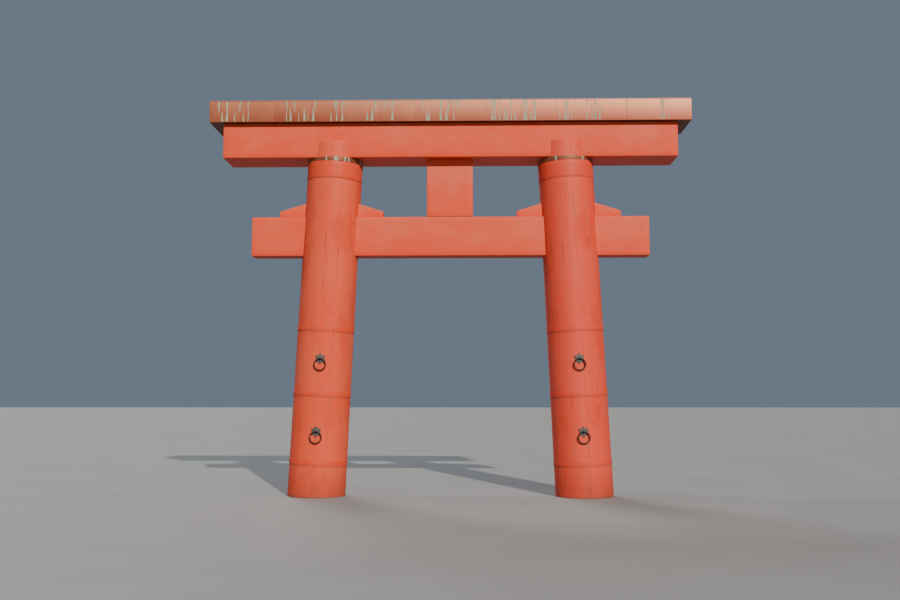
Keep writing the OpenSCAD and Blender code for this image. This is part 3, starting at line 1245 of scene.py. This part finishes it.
def build_copper(look):
    """The top lintel's copper: fascias, ends, soffit, roof and trim."""
    clad = Cladding(look)
    copper = sheet_copper("copper_fascia", look, clad.low_z, clad.top_z)
    # The roof copper a little and the soffit copper much darkened towards the soffit colour: painted
    # shade
    roof = sheet_copper("copper_roof", look, clad.low_z, clad.ridge, 0.15)
    under = sheet_copper("copper_soffit", look, clad.low_z, clad.top_z, 0.85)
    end_x, depth, low_z = clad.end_x, clad.depth, clad.low_z
    up = Z_WAY * clad.tall
    shifted = [x + end_x for x in clad.seams]
    for name, sign, run_seed, seed in (("front", 1, 17, 2), ("back", -1, 29, 3)):
        face = sheet_face(
            f"{name}_copper_sheets", Vector((-sign * end_x, -sign * depth, low_z)),
            X_WAY * sign * 2 * end_x, up, Y_WAY * -sign, shifted, copper, look,
            verdigris_runs(end_x, sign, run_seed), seed=seed,
        )
        dress(face, "copper_sheet", ROOT, f"{name}_copper")
    rng = random.Random(41)
    inner = depth - look.gauge - look.stand
    for side, sign in (("left", -1), ("right", 1)):
        runs = []
        for _ in range(7):
            place, start = rng.uniform(0.05, 2 * inner - 0.05), rng.choice((0, 0.4))
            runs.append((place, start, rng.choice((0.7, 1)), rng.uniform(0.02, 0.05)))
        face = sheet_face(
            f"{side}_end_copper_sheets", Vector((sign * end_x, -sign * inner, low_z)),
            Y_WAY * sign * 2 * inner, up, X_WAY * sign, [inner], copper, look, runs, seed=5 + sign,
        )
        dress(face, "copper_sheet", ROOT, f"{side}_end_copper")
    soffit = sheet_face(
        "soffit_copper_sheets", Vector((-end_x + look.gauge, depth - look.gauge, low_z)),
        X_WAY * 2 * (end_x - look.gauge), -Y_WAY * 2 * (depth - look.gauge), -Z_WAY,
        shifted, under, look, step=0.05, seed=8,
    )
    dress(soffit, "copper_sheet", ROOT, "soffit_copper")
    build_roof(roof, look, clad)
    build_seams(copper, under, roof, look, clad)
    build_hems(copper, roof, look, clad)
    build_copper_nails(copper, look, clad)


def build_roof(copper, look, clad):
    """Two sheeted slopes, solid beneath, that meet under the ridge cap."""
    steps = 240
    reach = clad.end_x - look.gauge
    stations = [(-1 + 2 * i / steps) * reach for i in range(steps + 1)]
    bottom = clad.top_z - CLADDING - look.gauge * 0.5
    lip = clad.top_z - look.stand
    half = clad.depth - look.stand
    slope = [(half * (1 - i / 10), lip + (clad.crown - lip) * i / 10) for i in range(11)]
    profile = [(-half, bottom)]
    profile += [(-y, z) for y, z in slope]
    profile += [(y, z) for y, z in reversed(slope[:-1])]
    profile += [(half, bottom)]
    points, tint = [], []
    rng = random.Random(9)
    tints = [rng.random() for _ in range(len(clad.seams) + 2)]
    for x in stations:
        index = sum(1 for s in clad.seams if s <= x)
        for y, z in profile:
            spot = Vector((x * 1.6, y * 2.0, 3.0))
            points.append((x, y, z - 0.002 * (0.5 + 0.5 * noise.noise(spot)) * (z > lip + 0.001)))
            tint.append(tints[index])
    around = len(profile)
    faces = []
    for i in range(steps):
        for j in range(around):
            k = (j + 1) % around
            a, b = i * around, (i + 1) * around
            faces.append((a + j, b + j, b + k, a + k))
    faces.append(tuple(range(around)))
    faces.append(tuple(range(steps * around + around - 1, steps * around - 1, -1)))
    piece = new_piece("roof_copper_sheets", points, faces, copper, 25)
    mark(piece, "tint", tint)
    mark(piece, "verdigris", [0.0] * len(points))
    outwards(piece)
    dress(piece, "copper_sheet", ROOT, "roof_copper")


def trim(name, kind, spots, width, stand, run, material, tint, seed=1):
    """A set of nails or strips on the copper, all in one tint."""
    piece = repeat(name, kind, spots, width, stand, run, material, seed)
    mark(piece, "tint", [tint] * len(piece.data.vertices))
    dress(piece, "copper_sheet", ROOT)


def build_seams(copper, under, roof, look, clad):
    """The folded seams between the sheets of the faces, the roof and the soffit."""
    sunk, stand, width = look.stand, look.stand * 0.98, look.seam_width
    depth, middle = clad.depth, clad.middle
    upright, leaning, level = [], [], []
    slope = (clad.crown - clad.top_z + look.stand) / depth
    for x in clad.seams:
        for sign in (-1, 1):
            upright.append((Vector((x, sign * (depth - sunk), middle)), Y_WAY * sign, Z_WAY))
            along = Vector((0, sign, -slope)).normalized()
            facing = Vector((0, sign * slope, 1)).normalized()
            spot = Vector((x, sign * depth / 2, clad.crown - slope * depth / 2 - 0.001))
            leaning.append((spot, facing, along))
        level.append((Vector((x, 0, clad.low_z + sunk)), -Z_WAY, Y_WAY))
    for sign in (-1, 1):
        upright.append((Vector((sign * (clad.end_x - sunk), 0, middle)), X_WAY * sign, Z_WAY))
    tall = clad.tall - 0.002
    trim("copper_fascia_seams", "seam", upright, width, stand, tall, copper, 0.75)
    trim("copper_roof_seams", "seam", leaning, width * 1.4, 0.007, depth - 0.006, roof, 0.6)
    trim("copper_soffit_seams", "seam", level, width, stand, 2 * depth - 0.03, under, 0.4)


def build_hems(copper, roof, look, clad):
    """Hems along every edge of the faces, and the ridge cap."""
    sunk, stand = look.stand, look.stand * 0.98
    end_x, depth = clad.end_x, clad.depth
    length_ways, end_ways, upright = [], [], []
    for z in (clad.low_z + 0.008, clad.top_z - 0.008):
        for sign in (-1, 1):
            length_ways.append((Vector((0, sign * (depth - sunk), z)), Y_WAY * sign, X_WAY))
            end_ways.append((Vector((sign * (end_x - sunk), 0, z)), X_WAY * sign, Y_WAY))
    for sign in (-1, 1):
        for face in (-1, 1):
            spot = Vector((sign * (end_x - sunk), face * (depth - 0.009), clad.middle))
            upright.append((spot, X_WAY * sign, Z_WAY))
    # Strips stop just short, so that none reaches past the lintel
    whole, across, tall = 2 * end_x - 0.001, 2 * depth - 0.001, clad.tall - 0.001
    trim("copper_long_hems", "seam", length_ways, 0.014, stand, whole, copper, 0.5)
    trim("copper_end_hems", "seam", end_ways, 0.014, stand, across, copper, 0.5)
    trim("copper_corner_hems", "seam", upright, 0.016, stand, tall, copper, 0.5)
    cap = [(Vector((0, 0, clad.crown)), Z_WAY, X_WAY)]
    trim("copper_ridge_cap", "seam", cap, 0.09, look.cap_stand, whole, roof, 0.7)


def build_copper_nails(copper, look, clad):
    """Rows of nails along the foot of both long faces, about five to a sheet."""
    count = int(2 * clad.end_x / (look.sheet_width / 5))
    out = clad.depth - look.stand - 0.001
    nails = []
    for i in range(count):
        x = -clad.end_x + (i + 0.5) * 2 * clad.end_x / count
        for sign in (-1, 1):
            nails.append((Vector((x, sign * out, clad.low_z + 0.028)), Y_WAY * sign, Z_WAY))
    trim("copper_nails", "nail", nails, look.nail_radius, 0.0045, 0, copper, 0.3, 7)


def star_outline(tip, notch, between=5):
    """The star's edge, finely divided: x, z, and 1 at a tip down to 0 at a notch."""
    corners = []
    for i in range(2 * STAR_POINTS):
        tipness = 1.0 - i % 2
        radius = tip if tipness else notch
        turn = math.pi / 2 + i * math.pi / STAR_POINTS
        corners.append((radius * math.cos(turn), radius * math.sin(turn), tipness))
    out = []
    for i, start in enumerate(corners):
        end = corners[(i + 1) % len(corners)]
        for j in range(between):
            t = j / between
            out.append(tuple(a + (b - a) * t for a, b in zip(start, end)))
    return out


def build_pull(column, level, iron_look, plate_iron, wire_iron):
    """A star plate, its eye and its swinging ring."""
    name = f"{column.side}_{level}"
    hinge = column.place.inverted() @ Vector(JOINTS[f"{name}_ring_swing"]["pos_m"])
    front = build_plate(column, name, hinge.z, iron_look, plate_iron, wire_iron)
    build_eye(column, name, front, wire_iron)
    build_ring(column, name, hinge.y, iron_look, wire_iron)


def build_plate(column, name, rise, look, plate_iron, wire_iron):
    """A star plate with a raised middle and a nail at each tip. Returns how far its face is out."""
    corners = column.corners(f"{name}_star")
    reaches = [math.hypot(p.x, p.z - rise) for p in corners]
    tip = max(p.z for p in corners) - rise
    # The notches of the star lie where its outline turns in
    notch = min(reach for reach in reaches if reach > tip * 0.7)
    front = max(-p.y for p, reach in zip(corners, reaches) if reach > tip * 0.4)
    radius = column.radius(rise)
    thick = front - radius
    outline = star_outline(tip, notch)
    points = []
    for share, height in STAR_PROFILE:
        for x, z, tipness in outline:
            px, pz = x * share, z * share
            if height is None:
                surface = math.sqrt(max(0.0, column.radius(rise + pz) ** 2 - px**2))
                out = surface - 0.001
            elif height == 0:
                out = radius + look.plate_edge * 0.4
            else:
                face = radius + look.plate_edge + (thick - look.plate_edge) * height
                ridge = 0.0012 * (tipness - 1) if height < 0.99 else 0.0
                out = face + ridge
            points.append(column.local(px, -out, rise + pz))
    count = len(outline)
    faces = ring_faces(len(STAR_PROFILE), count)
    last = (len(STAR_PROFILE) - 1) * count
    middle_front, middle_back = len(points), len(points) + 1
    points.append(column.local(0, -front, rise))
    points.append(column.local(0, -radius + 0.001, rise))
    for j in range(count):
        k = (j + 1) % count
        faces.append((last + j, last + k, middle_front))
        faces.append((k, j, middle_back))
    plate = new_piece(f"{name}_star_plate", points, faces, plate_iron, 24)
    outwards(plate)
    dress(plate, "wrought_iron", ROOT, f"{name}_star")
    spots = []
    reach = tip * 0.80
    for i in range(STAR_POINTS):
        turn = math.pi / 2 + i * 2 * math.pi / STAR_POINTS
        spot = column.local(reach * math.cos(turn), -(front - 0.004), rise + reach * math.sin(turn))
        spots.append((spot, column.way(0, -1, 0), column.way(0, 0, 1)))
    nails = repeat(f"{name}_star_nails", "nail", spots, 0.0075, 0.0055, 0, wire_iron, 2)
    dress(nails, "wrought_iron", ROOT)
    return front


def build_eye(column, name, front, iron):
    """The staple round the ring's wire: two legs in the plate, joined by a bend."""
    corners = column.corners(f"{name}_eye")
    top, foot = max(p.z for p in corners), min(p.z for p in corners)
    radius = max(p.x for p in corners)
    bend = (top - foot) / 2 - radius
    middle = (top + foot) / 2
    reach = max(-p.y for p in corners) - radius - bend
    legs = [front - 0.003] + [front + (reach - front) * t for t in (0.35, 0.7)]
    path = [column.local(0, -out, middle + bend) for out in legs]
    for i in range(17):
        turn = math.pi * i / 16
        out = reach + bend * math.sin(turn)
        path.append(column.local(0, -out, middle + bend * math.cos(turn)))
    path += [column.local(0, -out, middle - bend) for out in reversed(legs)]
    eye = wire(f"{name}_eye_staple", path, radius * 0.995, 18, iron, False)
    dress(eye, "wrought_iron", ROOT, f"{name}_eye")


def build_ring(column, name, y, look, iron):
    """The ring that hangs from its eye."""
    corners = column.corners(f"{name}_ring")
    low, high = column.span(f"{name}_ring")
    thickness = max(p.y for p in corners) - min(p.y for p in corners)
    mean = (high - low) / 2 - thickness / 2
    hub = (high + low) / 2
    path = []
    for i in range(96):
        turn = 2 * math.pi * i / 96
        path.append(column.local(mean * math.sin(turn), y, hub + mean * math.cos(turn)))
    ring = wire(f"{name}_pull_ring", path, thickness / 2 * 0.998, look.wire_sides, iron, True)
    dress(ring, "wrought_iron", f"{name}_ring", f"{name}_ring")


# ---------------------------------------------------------------------------
# Operators
# ---------------------------------------------------------------------------


class TORII_OT_columns(bpy.types.Operator):
    """Build the two leaning columns of painted staves"""

    bl_idname = "torii.columns"
    bl_label = "Columns"

    def execute(self, context):
        scene = context.scene
        for side in SIDES:
            build_column(Column(side), scene.torii_timber, scene.torii_staves)
        return {"FINISHED"}


class TORII_OT_beams(bpy.types.Operator):
    """Build the tie beam, the strut, the second lintel and the top lintel's core"""

    bl_idname = "torii.beams"
    bl_label = "Beams"

    def execute(self, context):
        look = context.scene.torii_timber
        # How strongly each is bleached above, and whether its grain runs up
        beams = (
            ("tie_beam", 0.24, False),
            ("strut", 0.35, True),
            ("second_lintel", 0.22, False),
            ("top_lintel", 0.1, False),
        )
        for seed, (node, fade, upright) in enumerate(beams, 1):
            low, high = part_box(node)
            if node == "top_lintel":
                high.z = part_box("front_copper")[1].z - CORE_DROP
            paint = beam_paint(f"vermilion_{node}", look, low.z, high.z, fade, seed * 3.7, upright)
            piece = timber(f"{node}_timber", low, high, paint, look, seed * 5.3)
            dress(piece, "beam_paint", ROOT, node)
        return {"FINISHED"}


class TORII_OT_wedges(bpy.types.Operator):
    """Build the four wedges that tighten the tie beam in the columns"""

    bl_idname = "torii.wedges"
    bl_label = "Wedges"

    def execute(self, context):
        look = context.scene.torii_timber
        seed = 20
        low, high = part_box("left_inner_wedge")
        paint = beam_paint("vermilion_wedges", look, low.z, high.z, 0.2, 9.1)
        for side in SIDES:
            for which in ("inner", "outer"):
                node = f"{side}_{which}_wedge"
                low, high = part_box(node)
                seed += 1
                piece = prism(f"{node}_timber", wedge_outline(node), high.y - low.y, paint, look, seed)
                dress(piece, "beam_paint", ROOT, node)
        return {"FINISHED"}


class TORII_OT_bands(bpy.types.Operator):
    """Build the painted hoops and neck bands round the columns"""

    bl_idname = "torii.bands"
    bl_label = "Hoops and neck bands"

    def execute(self, context):
        scene = context.scene
        for side in SIDES:
            build_hoops(Column(side), scene.torii_timber, scene.torii_iron)
        return {"FINISHED"}


class TORII_OT_collars(bpy.types.Operator):
    """Build the copper collars under the second lintel"""

    bl_idname = "torii.collars"
    bl_label = "Collars"

    def execute(self, context):
        scene = context.scene
        for side in SIDES:
            build_collar(Column(side), scene.torii_copper)
        return {"FINISHED"}


class TORII_OT_copper(bpy.types.Operator):
    """Build the copper cladding of the top lintel"""

    bl_idname = "torii.copper"
    bl_label = "Copper cladding"

    def execute(self, context):
        build_copper(context.scene.torii_copper)
        return {"FINISHED"}


class TORII_OT_pulls(bpy.types.Operator):
    """Build the star plates, their eyes and the swinging rings"""

    bl_idname = "torii.pulls"
    bl_label = "Ring pulls"

    def execute(self, context):
        look = context.scene.torii_iron
        plate_iron = forged_iron("blackened_iron_plate", look.plate, 0.5)
        wire_iron = forged_iron("worn_iron_wire", look.wire, 0.45)
        for side in SIDES:
            for level in LEVELS:
                build_pull(Column(side), level, look, plate_iron, wire_iron)
        return {"FINISHED"}


class TORII_OT_studio(bpy.types.Operator):
    """Set up the pale floor, the light and the camera"""

    bl_idname = "torii.studio"
    bl_label = "Studio"

    def execute(self, context):
        scene = context.scene
        look = scene.torii_studio
        build_floor(look)
        sun_tilt = math.pi / 2 - look.sun_height
        add_sun("key", look.sun_strength, look.sun_spread, look.sun_colour, sun_tilt, look.sun_azimuth)
        for name, turn, share in (("fill_back", 205, look.back_fill), ("fill_left", 255, look.left_fill)):
            strength = look.sun_strength * share
            turn = math.radians(turn)
            add_sun(name, strength, look.fill_spread, look.fill_colour, look.fill_tilt, turn)
        world = bpy.data.worlds.new("studio")
        world.use_nodes = True
        sky = world.node_tree.nodes["Background"]
        sky.inputs["Color"].default_value = (*look.backdrop, 1)
        sky.inputs["Strength"].default_value = look.sky_strength
        scene.world = world
        lens = bpy.data.cameras.new("camera")
        lens.sensor_width = 36
        lens.lens = look.lens
        lens.clip_end = 500
        camera = bpy.data.objects.new("camera", lens)
        scene.collection.objects.link(camera)
        camera.location = look.camera_place
        camera.rotation_euler = (math.pi / 2 + look.pitch, 0, look.yaw)
        scene.camera = camera
        return {"FINISHED"}


def add_sun(name, strength, spread, tint, tilt, turn):
    """A distant light, tilted from straight down and then turned about the upright."""
    light = bpy.data.lights.new(name, "SUN")
    light.energy = strength
    light.angle = spread
    light.color = tint
    lamp = bpy.data.objects.new(name, light)
    lamp.rotation_euler = (tilt, 0, turn)
    bpy.context.scene.collection.objects.link(lamp)


def build_floor(look):
    """One wide, plain, pale floor."""
    reach = 220
    finish = Finish("studio_floor", roughness=0.85)
    tone = finish.noise(finish.mapped(), 0.35, 4.0, 0.55)
    darker = [channel * 0.93 for channel in look.floor_colour]
    material = finish.finish(finish.mix(look.floor_colour, darker, tone.above(0.35, 0.65)))
    corners = [(-reach, -reach, 0), (reach, -reach, 0), (reach, reach, 0), (-reach, reach, 0)]
    floor = new_piece("floor", corners, [(0, 1, 2, 3)], material)


class TORII_PT_panel(bpy.types.Panel):
    """The gate's pieces and looks"""

    bl_label = "Torii gate"
    bl_idname = "TORII_PT_panel"
    bl_space_type = "VIEW_3D"
    bl_region_type = "UI"
    bl_category = "Torii gate"

    def draw(self, context):
        for operator in OPERATORS:
            self.layout.operator(operator.bl_idname)
        for name, group in LOOKS:
            look = getattr(context.scene, name)
            column = self.layout.column(heading=group.__name__)
            for key in group.__annotations__:
                column.prop(look, key)


LOOKS = (
    ("torii_timber", TimberLook),
    ("torii_staves", StaveLook),
    ("torii_copper", CopperLook),
    ("torii_iron", IronLook),
    ("torii_studio", StudioLook),
)
OPERATORS = (
    TORII_OT_columns,
    TORII_OT_beams,
    TORII_OT_wedges,
    TORII_OT_bands,
    TORII_OT_collars,
    TORII_OT_copper,
    TORII_OT_pulls,
    TORII_OT_studio,
)


def register():
    for name, group in LOOKS:
        bpy.utils.register_class(group)
        setattr(bpy.types.Scene, name, PointerProperty(type=group))
    for operator in OPERATORS:
        bpy.utils.register_class(operator)
    bpy.utils.register_class(TORII_PT_panel)


def unregister():
    bpy.utils.unregister_class(TORII_PT_panel)
    for operator in reversed(OPERATORS):
        bpy.utils.unregister_class(operator)
    for name, group in reversed(LOOKS):
        delattr(bpy.types.Scene, name)
        bpy.utils.unregister_class(group)


def main():
    register()
    bpy.ops.torii.columns()
    bpy.ops.torii.beams()
    bpy.ops.torii.wedges()
    bpy.ops.torii.bands()
    bpy.ops.torii.collars()
    bpy.ops.torii.copper()
    bpy.ops.torii.pulls()
    bpy.ops.torii.studio()


if __name__ == "__main__":
    main()
